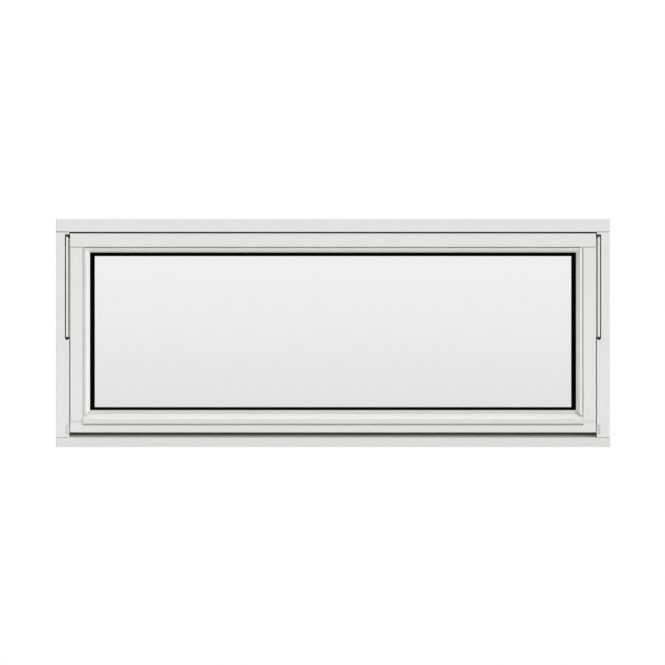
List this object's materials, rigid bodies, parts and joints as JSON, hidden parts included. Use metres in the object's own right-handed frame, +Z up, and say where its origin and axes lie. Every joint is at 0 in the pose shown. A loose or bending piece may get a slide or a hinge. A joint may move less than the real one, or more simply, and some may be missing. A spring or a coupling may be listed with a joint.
{
  "type": "top hung awning window",
  "caption": "White painted timber awning window: glazed sash with moulded beads and a drip bead, set in a frame with hinge arms in the jambs and a lever handle on the room side.",
  "frame": {"origin": "middle of the sill's flat underside, half way through the frame's depth", "axes": "+X to the right seen from outside, +Y from the outside towards the room, +Z up"},
  "size_m": [1.19, 0.117, 0.49],
  "materials": {
    "frame_paint": "satin",
    "sill_paint": "satin",
    "sash_paint": "satin",
    "bead_paint": "satin",
    "drip_coating": "satin",
    "black_rubber": "matte",
    "spacer_black": "matte",
    "clear_glass": "polished",
    "hinge_steel": "satin",
    "pivot_steel": "satin",
    "guide_plastic": "matte",
    "handle_metal": "satin"
  },
  "bodies": {
    "root": {"frame_head": "frame_paint", "frame_sill": "sill_paint", "frame_jamb_left": "frame_paint", "frame_jamb_right": "frame_paint", "weather_seal": "black_rubber", "sash_top_rail": "sash_paint", "sash_bottom_rail": "sash_paint", "sash_stile_left": "sash_paint", "sash_stile_right": "sash_paint", "glazing_bead_top": "bead_paint", "glazing_bead_left": "bead_paint", "glazing_bead_right": "bead_paint", "drip_bead": "drip_coating", "outer_gasket": "black_rubber", "outer_pane": "clear_glass", "glass_spacer": "spacer_black", "inner_pane": "clear_glass", "inner_glazing_tape": "black_rubber", "hinge_arm_left": "hinge_steel", "hinge_arm_right": "hinge_steel", "hinge_track_left": "hinge_steel", "hinge_track_right": "hinge_steel", "frame_pivot_left": "pivot_steel", "frame_pivot_right": "pivot_steel", "sash_pivot_left": "pivot_steel", "sash_pivot_right": "pivot_steel", "guide_block_left": "guide_plastic", "guide_block_right": "guide_plastic", "handle_base": "handle_metal", "handle_lever": "handle_metal"}
  },
  "joints": []
}
